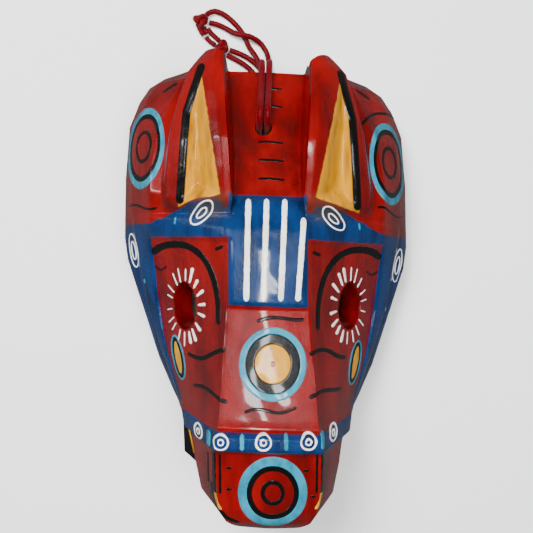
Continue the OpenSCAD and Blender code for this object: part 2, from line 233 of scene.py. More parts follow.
def half_skin(y, side):
    """One half of the skin over rows y, from the middle line out to the back rim, as x and z grids.

    A section runs flat over the crown, up the ear's inner wall, over its rim, across the gouged
    hollow, down its outer wall, down the slope, down the strap and down the cheek. Where the ear
    ramps to nothing its stretch is simply part of the slope. Straps stand proud by a smoothed step.
    """
    column = shares(22, 6, 6, 34, 5, 9, 18, 14, 8)[None, :]
    y = y[:, None]
    x1, x2, x3, x4 = (at(p, y) for p in (crown_x, panel_x, strap_x, cheek_x))
    z1, z2, z3 = (at(p, y) for p in (crown_z, panel_z, strap_z))
    width = x2 - x1
    wall_top = x1 + np.minimum(0.8, 0.04 * width)
    ridge = np.minimum(np.maximum(at(ear_ridge_x, y), wall_top + 1), x1 + 0.3 * width)
    edge = np.minimum(np.maximum(at(ear_edge_x, y), ridge + 4), x2 - 0.2 * width)
    foot = edge + np.minimum(2.2, 0.12 * width)
    stops = [0 * x1, x1, wall_top, ridge, edge, foot, x2, x3, x4, x4 - rim_in]
    lower = np.clip(np.floor(column).astype(int), 0, len(stops) - 2)
    table = np.concatenate(stops, axis=1)
    share = column - lower
    x = np.take_along_axis(table, np.broadcast_to(lower, (len(y), lower.shape[1])), 1) * (1 - share) \
        + np.take_along_axis(table, np.broadcast_to(lower + 1, (len(y), lower.shape[1])), 1) * share
    # The plain form, without ear or straps.
    f = np.clip((x - x1) / width, 0, 1)
    bulge = 1 - np.where(x < x1, x / x1, 2 * f - 1) ** 2
    z = np.where(x < x1, z1, z1 + (z2 - z1) * f) + np.where(x < x2, bulge, 0)
    g = np.clip((x - x2) / (x3 - x2), 0, 1)
    z = np.where(x > x2, z2 + (z3 - z2) * g + 0.4 * (1 - (2 * g - 1) ** 2), z)
    h = np.clip((x - x3) / (x4 - x3), 0, 1)
    z = np.where(x > x3, z3 + (cheek_z - z3) * h + 0.8 * (1 - (2 * h - 1) ** 2), z)
    z = np.where(column > 8, cheek_z * (9 - column), z)
    z = soften(z, 3, 0)
    # The ear.
    hollow = inside_by(x, y + 0 * x, ear_outline(side))
    run_out = smoothstep((y - 31) / 16)
    depth = ear_hollow_depth * run_out * smoothstep(hollow / 10.5)
    across = np.clip((x - ridge) / (edge - ridge), 0, 1)
    ridge_z, edge_z = at(ear_ridge_z, y), at(ear_edge_z, y)
    top = ridge_z + (edge_z - ridge_z) * across + 1.2 * (1 - (2 * across - 1) ** 2)
    on_ear = np.clip(np.minimum(column - 1, 5 - column), 0, 1)
    grown = smoothstep((y - 33) / 11)
    z = z + on_ear * grown * (top - z) - depth * (column > 1.9) * (column < 4.1)
    # The straps.
    band = smoothstep((y - browband_y) / 1.2 + 0.5) * smoothstep((browband_to_y - y) / 2.4 + 0.5)
    band = band * (1 - 0.8 * smoothstep(hollow / 4 + 0.5))
    cheek_strap = smoothstep((y - cheek_strap_from_y) / 2) * smoothstep((browband_to_y - y) / 2.4 + 0.5)
    cheek_strap = cheek_strap * smoothstep((x - x2 - 0.4) / 1.6) * smoothstep((x3 - x) / 1.2)
    forelock = smoothstep((y - forelock_from_y) / 1.2 + 0.5) * smoothstep((forelock_to_y - y) / 3)
    forelock = forelock * smoothstep((np.minimum(forelock_half, x1 - 0.6) - x) / 1.2 + 0.5)
    relief = np.maximum(np.maximum(band * smoothstep((x3 - x) / 1.2), forelock), cheek_strap)
    nose = smoothstep((y - noseband_y) / 1.2 + 0.5) * smoothstep((noseband_to_y - y) / 1.6 + 0.5)
    fade = smoothstep((x4 - x) / 3)
    z = z + np.maximum(relief * strap_relief, nose * noseband_relief) * fade
    return x, z


def skin():
    """The whole painted skin as a grid of points in millimetres, from the left rim to the right."""
    y = np.linspace(-end_y, end_y, 306)
    right_x, right_z = half_skin(y, 1)
    left_x, left_z = half_skin(y, -1)
    x = np.concatenate([-left_x[:, :0:-1], right_x], axis=1)
    z = np.concatenate([left_z[:, :0:-1], right_z], axis=1)
    z[:, 1:-1] = soften(z, 1, 1)[:, 1:-1]
    z = soften(z, 1, 0)
    rows = y[:, None] + 0 * x
    # The ear tips are round in the plan: their corners are drawn back along Y.
    lift = smoothstep((z - 60) / 14)
    middle = np.where(x > 0, 36, 32)
    reach = np.clip(np.abs(np.abs(x) - middle) / 14, 0, 1)
    rows = rows - lift * 5.5 * reach ** 2.2 * smoothstep((rows - 96) / 28)
    rows = rows - 2.5 * (1 - smoothstep((z - 56) / 14)) * smoothstep((rows - 110) / 14) * (np.abs(x) < 40)
    # Marks of the knife under the paint: long shallow flats.
    flats = lattice_noise(x + 0.4 * rows, rows, 9, 3) * 0.22 + lattice_noise(x, rows, 23, 5) * 0.35
    z = z + (flats - 0.45) * smoothstep(z / 12) * smoothstep((head_depth - z) / 3)
    place = np.stack([x * sx, rows * sy - drop_slope * x * sx - centring, np.clip(z, 0, None)], axis=-1)
    return place


skin_points = skin()


def mesh_only(name, points, faces):
    """A mesh that is merged, made closed and turned outwards, as an object that cuts or joins another."""
    mesh = bpy.data.meshes.new(name)
    mesh.from_pydata((np.asarray(points, float) * MM).tolist(), [], [tuple(f) for f in faces])
    tidy = bmesh.new()
    tidy.from_mesh(mesh)
    bmesh.ops.remove_doubles(tidy, verts=tidy.verts, dist=2e-6)
    wide = [face for face in tidy.faces if len(face.verts) > 4]
    bmesh.ops.triangulate(tidy, faces=wide, ngon_method="EAR_CLIP")
    bmesh.ops.recalc_face_normals(tidy, faces=tidy.faces)
    tidy.to_mesh(mesh)
    tidy.free()
    piece = bpy.data.objects.new(name, mesh)
    bpy.context.scene.collection.objects.link(piece)
    return piece


def shell_of(grid):
    """Closes a grid whose first and last columns lie on one level: a flat face between those two edges,
    and one over each end row. The faces are split by clipping ears, so that they may be hollow-edged."""
    rows, columns = grid.shape[:2]
    index = np.arange(rows * columns).reshape(rows, columns)
    rim = np.concatenate([index[:, 0], index[::-1, -1]])
    faces = grid_faces(rows, columns) + [tuple(rim.tolist()), tuple(index[0].tolist()),
                                         tuple(index[-1].tolist())]
    return grid.reshape(-1, 3), faces


def face_hollow():
    """The hollow for the wearer's face: the section moved in by the walls, with shallow gouge marks."""
    y = np.linspace(-72, 102, 130)[:, None]
    x1, x2 = at(crown_x, y), at(panel_x, y)
    z1, z2 = at(crown_z, y), at(panel_z, y)
    x4 = at(cheek_x, y) - rim_in - rim_wall
    top_z = np.minimum(z1 - crown_wall, at([(-72, 52), (-64, 66), (-52, 78), (-36, 84), (102, 84)], y))
    normal_x, normal_z = (z1 - z2), (x2 - x1)
    size = np.hypot(normal_x, normal_z)
    normal_x, normal_z = normal_x / size, normal_z / size
    lean = normal_x / np.maximum(normal_z, 0.2)
    edge_z = np.minimum(z2 - panel_wall * normal_z, top_z - 2)
    edge_x = np.minimum(x2 - panel_wall * normal_x, x4 - 2)
    top_x = np.maximum(6, edge_x - np.maximum(top_z - edge_z, 2) / np.maximum(lean, 0.4))
    column = shares(20, 20, 16, 8)[None, :]
    xs = np.concatenate([0 * top_x, top_x, edge_x, x4, x4], axis=1)
    zs = np.concatenate([top_z + 1, top_z, edge_z, np.minimum(cheek_z, edge_z - 1), 0 * x4 - 5], axis=1)
    k = np.clip(np.floor(column).astype(int), 0, 3)
    share = column - k
    x = xs[:, k[0]] * (1 - share) + xs[:, k[0] + 1] * share
    z = zs[:, k[0]] * (1 - share) + zs[:, k[0] + 1] * share
    x = np.concatenate([-x[:, :0:-1], x], axis=1)
    z = np.concatenate([z[:, :0:-1], z], axis=1)
    x, z = soften(x, 4, 1), soften(z, 4, 1)
    x, z = soften(x, 3, 0), soften(z, 3, 0)
    rows = y + 0 * x
    gouge = lattice_noise(x * 1.6 + z * 0.5, rows, 8, 11) * 0.55 + lattice_noise(x, rows, 19, 12) * 0.6
    z = np.where(z > 6, z - (gouge + 0.6) * smoothstep((z - 6) / 8), z)
    grid = np.stack([x * sx, rows * sy - drop_slope * x * sx - centring, z], axis=-1)
    grid[:, 0, 2], grid[:, -1, 2] = -5, -5
    return mesh_only("face_hollow", *shell_of(grid))


eye_x, eye_y, eye_r = 45.0, -11.7, 12.5
eye_rise = (float(at(crown_z, eye_y) - at(panel_z, eye_y)), float(at(panel_x, eye_y) - at(crown_x, eye_y)))
eye_tilt = np.arctan2(*eye_rise)


def eye_bore(side):
    """A round bore square to the eye panel, its edge eased where the paint rounds it."""
    turn = np.linspace(0, 2 * np.pi, 96, endpoint=False)
    along = np.array([-22, -14, -8, -1.4, -0.6, 0.2, 1.2, 2.4, 14])
    radius = eye_r + np.array([0, 0, 0, 0, 0.1, 0.4, 1.0, 1.6, 1.6])
    local = np.stack([radius[:, None] * np.cos(turn), radius[:, None] * np.sin(turn),
                      along[:, None] + 0 * turn], axis=-1)
    tilt = side * eye_tilt
    share = (eye_x - float(at(crown_x, eye_y)) * sx) / (eye_rise[1] * sx)
    z = float(at(crown_z, eye_y)) - eye_rise[0] * share
    turned = np.stack([local[..., 0] * np.cos(tilt) + local[..., 2] * np.sin(tilt), local[..., 1],
                       -local[..., 0] * np.sin(tilt) + local[..., 2] * np.cos(tilt)], axis=-1)
    points = (turned + (side * eye_x, eye_y * sy, z)).reshape(-1, 3)
    faces = grid_faces(len(along), len(turn), closed_columns=True)
    faces += [tuple(range(len(turn))), tuple(range(len(points) - len(turn), len(points)))]
    return mesh_only("eye_bore", points, faces)


def upright_bore(x, y, radius, low, high):
    """A drilled hole along Z, its wall a little uneven where the drill tore the grain."""
    turn = np.linspace(0, 2 * np.pi, 72, endpoint=False)
    heights = np.linspace(low, high, 40)[:, None]
    r = radius * (1 + 0.05 * lattice_noise(turn * 3 + 0 * heights, heights + 0 * turn, 1.3, 21))
    points = np.stack([x + r * np.cos(turn), y + r * np.sin(turn), heights + 0 * r], axis=-1)
    faces = grid_faces(len(heights), len(turn), closed_columns=True)
    count = points.shape[0] * points.shape[1]
    faces += [tuple(range(len(turn))), tuple(range(count - len(turn), count))]
    return mesh_only("cord_bore", points.reshape(-1, 3), faces)


def block(name, low, high):
    """A plain box between two corners."""
    c = np.array([low, high], float)
    points = [(c[i, 0], c[j, 1], c[k, 2]) for i in (0, 1) for j in (0, 1) for k in (0, 1)]
    faces = [(0, 1, 3, 2), (4, 6, 7, 5), (0, 4, 5, 1), (2, 3, 7, 6), (0, 2, 6, 4), (1, 5, 7, 3)]
    return mesh_only(name, points, faces)


def lower_jaw():
    """The jaw under the muzzle: its outline drawn up to a flat top, with eased edges."""
    half = [(44.5, -76), (43.8, -96.4), (37.8, -101.8), (28, -108), (16, -112.5)]
    outline = half + [(-x, y) for x, y in half[::-1]]
    ring = np.array([((x - 4) * sx, y * sy) for x, y in outline])
    levels = [(0, 0), (jaw_high / 2, 0), (jaw_high - 2.5, 0), (jaw_high - 0.8, 0.5), (jaw_high, 1.8)]
    middle = np.array([-4, -92])
    rings = [np.column_stack([ring + (middle - ring) * inset / 45, np.full(len(ring), z)])
             for z, inset in levels]
    points = np.concatenate(rings)
    faces = grid_faces(len(levels), len(ring), closed_columns=True)
    faces += [tuple(range(len(ring))), tuple(range(len(points) - len(ring), len(points)))]
    return mesh_only("lower_jaw", points, faces)


# ---------------------------------------------------------------- materials

def new_material(name):
    """A node material and its Principled shader."""
    material = bpy.data.materials.new(name)
    material.use_nodes = True
    return material, material.node_tree.nodes["Principled BSDF"]


def put(node, values):
    """Sets a node up: each value is plain, a hex colour, or a (node, output) to be linked in."""
    for key, value in values.items():
        if isinstance(key, str) and hasattr(node, key):
            setattr(node, key, value)
        elif isinstance(value, tuple) and isinstance(value[0], bpy.types.Node):
            node.id_data.links.new(value[0].outputs[value[1]], node.inputs[key])
        else:
            node.inputs[key].default_value = linear(value) if isinstance(value, str) else value


def add(material, kind, values):
    """Adds a node with its settings and links."""
    node = material.node_tree.nodes.new("ShaderNode" + kind)
    put(node, values)
    return node


def marks(material, size, stretch, detail=3.0):
    """Mottling on Object coordinates about size millimetres across, drawn out where stretch is small."""
    place = add(material, "TexCoord", {})
    fit = add(material, "Mapping", {"Vector": (place, "Object"), "Scale": stretch})
    return add(material, "TexNoise", {"Vector": (fit, "Vector"), "Scale": 1000 / size, "Detail": detail,
                                      "Roughness": 0.6})


def two_tones(material, mottling, light, dark, low=0.4, high=0.68):
    """Light paint turning to dark where the mottling is strong, as a (node, output)."""
    share = add(material, "MapRange", {"Value": (mottling, 0), "From Min": low, "From Max": high})
    return add(material, "Mix", {"data_type": "RGBA", 0: (share, 0), 6: light, 7: dark}), 2


def over(material, field, wobble, softness, below, above, strength=1.0):
    """The paint above laid over the paint below inside a painted field, with a wandering brushed edge."""
    inside = add(material, "Attribute", {"attribute_name": field})
    swing = add(material, "Math", {"operation": "MULTIPLY_ADD", 0: (marks(material, 3.2, (1, 1, 0.3)), 0),
                                   1: wobble, 2: -wobble / 2})
    total = add(material, "Math", {"operation": "ADD", 0: (inside, "Fac"), 1: (swing, 0)})
    share = add(material, "MapRange", {"Value": (total, 0), "From Min": -softness, "From Max": softness,
                                       "To Max": strength})
    return add(material, "Mix", {"data_type": "RGBA", 0: (share, 0), 6: below, 7: above}), 2


def varnished(material, shader, rough, coat):
    """Brushed enamel under gloss varnish: low ridges along the brush's pull, and the grain below."""
    ridges = add(material, "Bump", {"Strength": 0.25, "Distance": 0.0003,
                                    "Height": (marks(material, 1.6, (1, 0.12, 1)), 0)})
    grain = add(material, "Bump", {"Strength": 0.6, "Distance": 0.0003, "Normal": (ridges, 0),
                                   "Height": (marks(material, 0.7, (1, 0.5, 1)), 0)})
    put(shader, {"Normal": (grain, 0), "Roughness": rough, "IOR": 1.5, "Coat Weight": coat,
                 "Coat Roughness": 0.07, "Coat IOR": 1.52})


def painted_wood():
    """Brushed alkyd enamel over gesso on carved softwood, under gloss varnish: the eye gets deep red
    with a wet gloss, blue straps with ragged edges, and streaky yellow where the coat is thin."""
    material, shader = new_material("painted_wood")
    red = two_tones(material, marks(material, 16, (1, 0.25, 1)), "#760103", "#4C0102")
    blue = two_tones(material, marks(material, 9, (1, 0.25, 1)), "#032A58", "#021A3C")
    yellow = two_tones(material, marks(material, 5, (1, 0.16, 0.6), 5.0), "#BE8200", "#6E3A00", 0.44, 0.76)
    paint = over(material, "blue", 1.1, 0.25, red, blue)
    # Painted shade: a greyish brown laid over the foot of each ear's hollow, where the scoop runs down into
    # the brow.
    paint = over(material, "smear", 3.0, 3.0, paint, "#3A3226", 0.6)
    paint = over(material, "yellow", 1.4, 0.25, paint, yellow)
    paint = over(material, "black", 0.5, 0.25, paint, "#020202")
    put(shader, {"Base Color": paint})
    varnished(material, shader, 0.2, 0.7)
    return material


def bare_wood():
    """Gouged, unpainted softwood inside the mask: pale, dry, with long fibres and darker grain."""
    material, shader = new_material("gouged_bare_wood")
    rings, fibres = marks(material, 7, (1, 0.08, 0.6), 4.0), marks(material, 0.9, (1, 0.06, 1), 4.0)
    tone = two_tones(material, rings, "#C79A66", "#8F6238", 0.35, 0.7)
    tone = two_tones(material, fibres, tone, "#6B4526", 0.5, 0.8)
    relief = add(material, "Bump", {"Height": (fibres, 0), "Strength": 0.5, "Distance": 0.0004})
    put(shader, {"Base Color": tone, "Normal": (relief, 0), "Roughness": 0.78})
    return material


def enamel(name, light, dark, size=6, rough=0.24):
    """Opaque brush enamel under the same varnish: flat and even, with slight streaks."""
    material, shader = new_material(name)
    put(shader, {"Base Color": two_tones(material, marks(material, size, (1, 0.6, 1)), light, dark)})
    varnished(material, shader, rough, 0.6)
    return material


def mouth_black():
    """Thin black paint inside the mouth and on the jaw, unvarnished: a dull dark surface."""
    material, shader = new_material("matt_black_paint")
    put(shader, {"Base Color": two_tones(material, marks(material, 5, (1, 1, 1)), "#0A0A0A", "#15100E"),
                 "Roughness": 0.5})
    return material


def cord_yarn():
    """Twisted glossy viscose yarn, dark red: bright glints along the plies and dark gaps between."""
    material, shader = new_material("viscose_yarn")
    threads = marks(material, 0.9, (1, 1, 1))
    relief = add(material, "Bump", {"Height": (threads, 0), "Strength": 0.5, "Distance": 0.0002})
    put(shader, {"Base Color": two_tones(material, threads, "#640209", "#300003"), "Normal": (relief, 0),
                 "Roughness": 0.34, "Sheen Weight": 0.12, "Sheen Tint": "#E88090"})
    return material


def pale_card():
    """Matt white card under the mask: an even pale ground that takes a soft shadow."""
    material, shader = new_material("pale_card")
    put(shader, {"Base Color": "#FAFAFA", "Roughness": 0.9})
    return material


head_paint = painted_wood()
wood = bare_wood()
jaw_paint = mouth_black()
# The eye bores' walls take a darker copy of the face's red, as painted shade inside the bores.
shaded_bore_red = enamel("red_enamel_shaded_in_bores", "#600103", "#3C0102", 9)
white_enamel = enamel("white_enamel", "#EFEFEA", "#D2D0C8")
black_enamel = enamel("black_enamel", "#020202", "#060606")
turquoise_enamel = enamel("turquoise_enamel", "#1F8098", "#14627A")
yellow_enamel = enamel("yellow_enamel", "#C48C00", "#A86C00")
red_enamel = enamel("red_enamel", "#760204", "#540103")


# ---------------------------------------------------------------- hanging cord

left_route = [
    (-24.4, 144.2, 2), (-18, 141, 2), (-12.6, 137.6, 2), (-7.8, 133, 2), (-5, 127.5, 2), (-4.1, 121, 2),
    (-4.1, 114, 2), (-4.2, 107.5, 3.2), (-4.2, 101.5, 7), (-4.2, 96.5, 14), (-4.2, 92.4, 22.5),
    (-4.2, 89.4, 32), (-4.2, 87.6, 42), (-4.2, 87, 52), (-4.2, 87.2, 60), (-4.1, 89.8, 65.8),
    (-3.9, 95.4, 67.6), (-3.5, 101.2, 64.4), (-3.1, 107.2, 59.2), (-2.8, 113.4, 55), (-2.6, 119, 52.2),
    (-2.5, 123.4, 50.4), (-2.5, 127.2, 46.8), (-2.6, 129.2, 41.2), (-2.7, 129.8, 33), (-2.8, 130, 24),
    (-2.9, 130.6, 16), (-3.2, 132.8, 10.2), (-3.9, 136.8, 6.8), (-5.4, 141, 5.8), (-8, 145.4, 4.4),
    (-10.8, 150, 2.4), (-13, 155.4, 2), (-16.4, 160.8, 2), (-21, 165.8, 2), (-26, 169.8, 2),
    (-31.4, 172, 2), (-35.2, 171.2, 2.2), (-37.5, 169.2, 3.2)]
right_route = [
    (-22.6, 147.4, 2.2), (-16, 145, 2), (-10, 141.8, 2), (-4.6, 137, 2), (-1, 131, 2), (0.2, 124, 2),
    (0.4, 116, 2), (0.3, 108.5, 3.2), (0.2, 101.5, 7), (0.2, 96.5, 14), (0.2, 92.4, 22.5),
    (0.2, 89.4, 32), (0.2, 87.6, 42), (0.2, 87, 52), (0.2, 87.2, 60), (0.2, 89.8, 65.8),
    (0.3, 95.4, 67.6), (0.6, 101.2, 64.4), (0.9, 107.2, 59.2), (1.2, 113.4, 55), (1.4, 119, 52.2),
    (1.6, 123.4, 50.4), (1.8, 127.2, 46.8), (1.8, 129.2, 41.2), (1.8, 129.8, 33), (1.8, 130, 24),
    (1.8, 130.6, 16), (1.9, 132.8, 9.4), (2, 137, 5.2), (1.8, 142, 2.6), (0.2, 147, 2), (-3.6, 152, 3),
    (-9.2, 154.8, 5.4), (-14.6, 155.8, 6), (-20, 157.8, 4.2), (-25.2, 161.2, 2.2), (-30.4, 163.6, 2),
    (-35.6, 164.6, 2.8)]
link_routes = [[(-37.6, 155.4, 2.2), (-35.6, 153.2, 2), (-33.4, 151.6, 2), (-32, 150.6, 2.2)],
               [(-36.4, 161, 2.2), (-34.8, 158.6, 2), (-32.4, 156.2, 2), (-30.2, 154.2, 2.2),
                (-29.4, 153.4, 2.6)]]
tail_routes = [[(-42, 161.4, 4.4), (-40.6, 158.6, 3.6), (-39, 156.4, 3)],
               [(-39.4, 161.2, 3.8), (-38.2, 159.6, 3), (-36.8, 157.8, 2.6)]]


def rope(path, radius, lay=7.0, closed=False):
    """A three-ply twisted cord along a path. Its section is three lobes that turn once every lay
    millimetres, carried along by frames that do not spin on the path's bends."""
    ahead = np.roll(path, -1, 0) - np.roll(path, 1, 0) if closed else np.gradient(path, axis=0)
    ahead /= np.linalg.norm(ahead, axis=1)[:, None]
    side = np.empty_like(path)
    carried = np.cross(ahead[0], (0.1, 0.2, 1))
    for i, direction in enumerate(ahead):
        carried = carried - direction * (carried @ direction)
        carried /= np.linalg.norm(carried)
        side[i] = carried
    up = np.cross(ahead, side)
    run = np.concatenate([[0], np.cumsum(np.linalg.norm(np.diff(path, axis=0), axis=1))])
    turn = np.linspace(0, 2 * np.pi, 30, endpoint=False)[None]
    twist = 2 * np.pi * run[:, None] / lay
    ply = np.abs(np.sin(1.5 * (turn - twist)))
    size = radius * (0.8 + 0.2 * ply ** 0.6)
    points = path[:, None] + size[..., None] * (np.cos(turn)[..., None] * side[:, None]
                                                + np.sin(turn)[..., None] * up[:, None])
    rows, columns = len(path), turn.size
    faces = grid_faces(rows, columns, closed_rows=closed, closed_columns=True)
    if not closed:
        faces += [tuple(range(columns))[::-1], tuple(range((rows - 1) * columns, rows * columns))]
    return points.reshape(-1, 3), faces


def overhand(centre, size, radius, seed_turn=0.0):
    """A pulled-up knot: a trefoil line, (sin t + 2 sin 2t, cos t - 2 cos 2t, -sin 3t), scaled so that
    the knot with its cord is size across."""
    t = np.linspace(0, 2 * np.pi, 90, endpoint=False)
    line = np.stack([np.sin(t) + 2 * np.sin(2 * t), np.cos(t) - 2 * np.cos(2 * t),
                     -1.5 * np.sin(3 * t)], axis=1)
    line *= (size / 2 - radius) / 3
    c, s = np.cos(seed_turn), np.sin(seed_turn)
    line[:, :2] = line[:, :2] @ np.array([[c, s], [-s, c]])
    return rope(line + np.array(centre), radius, lay=6, closed=True)


def cord_piece(name, parts, *nodes):
    piece = mesh_object(name, *joined(parts))
    piece.data.materials.append(yarn)
    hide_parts(*nodes)
    return piece


def cord_run(name, route):
    """One strand of the doubled cord at its true length, knotted at its far end."""
    path = smooth_path(route, 0.7)
    strand = cord_piece(name, [rope(path, 1.75)], name.replace("twisted", "cord"))


yarn = cord_yarn()
end_knot = cord_piece("knotted_ends", [overhand((-41, 164.9, 5.25), 10.4, 1.75)]
                      + [rope(smooth_path(p, 0.6), 1.7) for p in tail_routes], "end_knot")
mid_knot = cord_piece("knot_by_the_loop", [overhand((-27.2, 148.9, 4.75), 9.4, 1.65, 0.7)], "mid_knot")
knot_tails = cord_piece("cord_between_knots",
                        [rope(smooth_path(p, 0.6), 1.6) for p in link_routes], "knot_link")
cord_run("twisted_strand_left", left_route)
cord_run("twisted_strand_right", right_route)


# ---------------------------------------------------------------- carved head

def cut_with(piece, cutter, operation, material):
    """Applies one boolean to the piece; the cut faces take the cutter's material."""
    cutter.data.materials.append(material)
    modifier = piece.modifiers.new("cut", "BOOLEAN")
    modifier.operation = operation
    modifier.solver = "EXACT"
    modifier.material_mode = "TRANSFER"
    modifier.object = cutter
    with bpy.context.temp_override(object=piece, active_object=piece):
        bpy.ops.object.modifier_apply(modifier=modifier.name)
    bpy.data.objects.remove(cutter)


def plan_of(points):
    """A placed point's place in the drawn plan, in millimetres, with the drop of the right side undone."""
    x = points[:, 0] / sx
    return x, (points[:, 1] + drop_slope * points[:, 0] + centring) / sy


stripe_width, ragged = 4.6, 0.5
brow_low = browband_y + 1.2


def near_line(x, y, line):
    """The distance from plan points to a line of straight pieces."""
    nearest = np.full(np.shape(x), np.inf)
    for (ax, ay), (bx, by) in zip(line[:-1], line[1:]):
        ex, ey = bx - ax, by - ay
        t = np.clip(((x - ax) * ex + (y - ay) * ey) / (ex * ex + ey * ey), 0, 1)
        nearest = np.minimum(nearest, np.hypot(x - ax - t * ex, y - ay - t * ey))
    return nearest


def ear_paint(x, y, side):
    """The yellow inside an ear's hollow, cut off along the brow, and the black stripe beside it, which
    runs down the hollow's outer edge half its width in from there."""
    foot_in, tip, shoulder, foot_out = ear_outline(side)
    inner_edge = stripe_width / 2 + 0.4
    stripe = [tip, (shoulder[0] - inner_edge + 1.4, shoulder[1]),
              (foot_out[0] - inner_edge + 1, foot_out[1] + 4)]
    black = stripe_width / 2 - near_line(x, y, stripe)
    foot = brow_edge(side * x) + 1.0
    yellow = np.minimum(inside_by(x, y, [foot_in, tip, shoulder, foot_out]) - 0.3, y - foot)
    return yellow, black


def brow_edge(x):
    """The upper edge of the blue: low over the cheeks, climbing into the foot of each ear, with a nick
    where the ear's ridge starts. The right side is lower by the head's uneven carving."""
    side = np.abs(x)
    climb = 32.0 - (x > 0) * side_drop / 3 + 12 * smoothstep((68 - side) / 36)
    return climb - 4 * np.exp(-((side - 22) / 2.5) ** 2)


def paint_fields(x, y):
    """How far each plan point lies inside each painted area, and inside the patch of painted shade at the
    foot of each ear's hollow, in millimetres.
    """
    side = np.abs(x)
    left, right = ear_paint(side, y, -1), ear_paint(side, y, 1)
    yellow, black = (np.where(x < 0, a, b) for a, b in zip(left, right))
    ragged_edge = ragged * lattice_noise(x, 0 * x, 2.2, 61)
    brow = np.minimum(brow_edge(x) + ragged_edge - y, y - brow_low)
    forelock = np.minimum(forelock_half + 0.6 - side, np.minimum(y - forelock_from_y, forelock_to_y - y))
    cheek = np.minimum(side - at(panel_x, y) - 0.3, np.minimum(y - cheek_strap_from_y - 1, 26 - y))
    nose = np.minimum(y - noseband_y + 0.4, noseband_to_y + 0.4 - y)
    blue = np.maximum(np.maximum(brow, forelock), np.maximum(cheek, nose))
    # Not a paint: the patch of painted shade in the scoop at the foot of each ear's hollow, an oval about
    # its foot.
    smear = 7 - np.hypot((side - 30) / 1.4, y - 41.5)
    return {"blue": blue, "yellow": yellow, "black": black, "smear": smear}


def carved_head():
    """The blank with its jaw, less the hollow, the mouth, the bores and the cord's notch."""
    head = mesh_only("carved_head_painted", *shell_of(skin_points))
    head.data.materials.append(head_paint)
    far = 200
    mouth = block("mouth", (-far, -far, -1), (far, (muzzle_root_y + mouth_depth) * sy, jaw_high + mouth_gap))
    cut_with(head, mouth, "DIFFERENCE", jaw_paint)
    cut_with(head, lower_jaw(), "UNION", jaw_paint)
    cut_with(head, face_hollow(), "DIFFERENCE", wood)
    for side in (-1, 1):
        # The bore walls get the darker red: painted shade inside the eye holes.
        cut_with(head, eye_bore(side), "DIFFERENCE", shaded_bore_red)
    cut_with(head, upright_bore(cord_hole_x, cord_hole_y * sy, cord_hole_r, 20, 138), "DIFFERENCE", wood)
    notch = block("notch", (cord_hole_x - cord_notch_half, cord_notch_from_y * sy, -1),
                  (cord_hole_x + cord_notch_half, far, cord_notch_high))
    cut_with(head, notch, "DIFFERENCE", wood)
    mesh = head.data
    points = np.empty(len(mesh.vertices) * 3)
    mesh.vertices.foreach_get("co", points)
    x, y = plan_of(points.reshape(-1, 3) / MM)
    for name, field in paint_fields(x, y).items():
        mesh.attributes.new(name, "FLOAT", "POINT").data.foreach_set("value", field.astype(np.float32))
    mesh.shade_smooth()
    mesh.set_sharp_from_angle(angle=np.radians(48))
    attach(head, "root")
    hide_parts("carved_head")


carved_head()


# ---------------------------------------------------------------- brush strokes

skin_tangent = np.gradient(skin_points, axis=1)
skin_normal = np.cross(skin_tangent, np.gradient(skin_points, axis=0))
skin_normal /= np.maximum(np.linalg.norm(skin_normal, axis=-1, keepdims=True), 1e-9)
last_row, last_column = skin_points.shape[0] - 1, skin_points.shape[1] - 1
lattice_x = np.linspace(-88, 88, 705)
middle_column = last_column // 2
rising_x = np.concatenate([
    np.minimum.accumulate(skin_points[:, middle_column::-1, 0], axis=1)[:, ::-1],
    np.maximum.accumulate(skin_points[:, middle_column + 1:, 0], axis=1)], axis=1)
column_at = np.stack([np.interp(lattice_x, row, np.arange(last_column + 1)) for row in rising_x])


def sample(grid, row, column):
    """A grid's value between its points, blended from the four round it."""
    row, column = np.clip(row, 0, grid.shape[0] - 1.001), np.clip(column, 0, grid.shape[1] - 1.001)
    i, j = row.astype(int), column.astype(int)
    s, t = row - i, column - j
    if grid.ndim == 3:
        s, t = s[..., None], t[..., None]
    low = grid[i, j] * (1 - t) + grid[i, j + 1] * t
    high = grid[i + 1, j] * (1 - t) + grid[i + 1, j + 1] * t
    return low * (1 - s) + high * s


def on_skin(x, y, lift):
    """The place over a plan point (x, y), lifted off the skin along its normal. The row is found by
    stepping towards y, as the rows bend near the ear tips, and x stops short of the back rim."""
    limit = (at(cheek_x, y / sy) - 1.6) * sx
    x = np.clip(x, -limit, limit)
    row = (y + end_y) / (2 * end_y) * last_row
    for _ in range(4):
        column = sample(column_at, row, (x - lattice_x[0]) / (lattice_x[1] - lattice_x[0]))
        row = row + (y - sample(skin_points[:, :, 1], row, column)) / (2 * end_y) * last_row
    point, normal = sample(skin_points, row, column), sample(skin_normal, row, column)
    return point + normal * lift[..., None]


def film(first, second, thickness=0.2, closed=False):
    """A film of paint between two edges of equal count: it rises from under the skin at each edge to
    its thickness, and its underside is sunk, so that it is one closed piece."""
    first, second = np.asarray(first, float), np.asarray(second, float)
    width = np.linalg.norm(second - first, axis=1).max()
    steps = int(np.clip(width / 1.1 + 5, 6, 26))
    t = (1 - np.cos(np.pi * np.arange(steps + 1) / steps)) / 2
    plan = first[:, None] * (1 - t[None, :, None]) + second[:, None] * t[None, :, None]
    reach = np.minimum(t, 1 - t)[None] * np.linalg.norm(second - first, axis=1)[:, None]
    top = on_skin(plan[..., 0], plan[..., 1], thickness * np.clip(reach / 0.35, 0, 1) ** 0.5 - 0.03)
    under = on_skin(plan[..., 0], plan[..., 1], 0 * reach - 0.3)[:, ::-1]
    ring = np.concatenate([top, under], axis=1)
    rows, columns = ring.shape[:2]
    faces = grid_faces(rows, columns, closed_rows=closed, closed_columns=True)
    if not closed:
        faces += [tuple(range(columns)), tuple(range(rows * columns - 1, (rows - 1) * columns - 1, -1))]
    return ring.reshape(-1, 3), faces


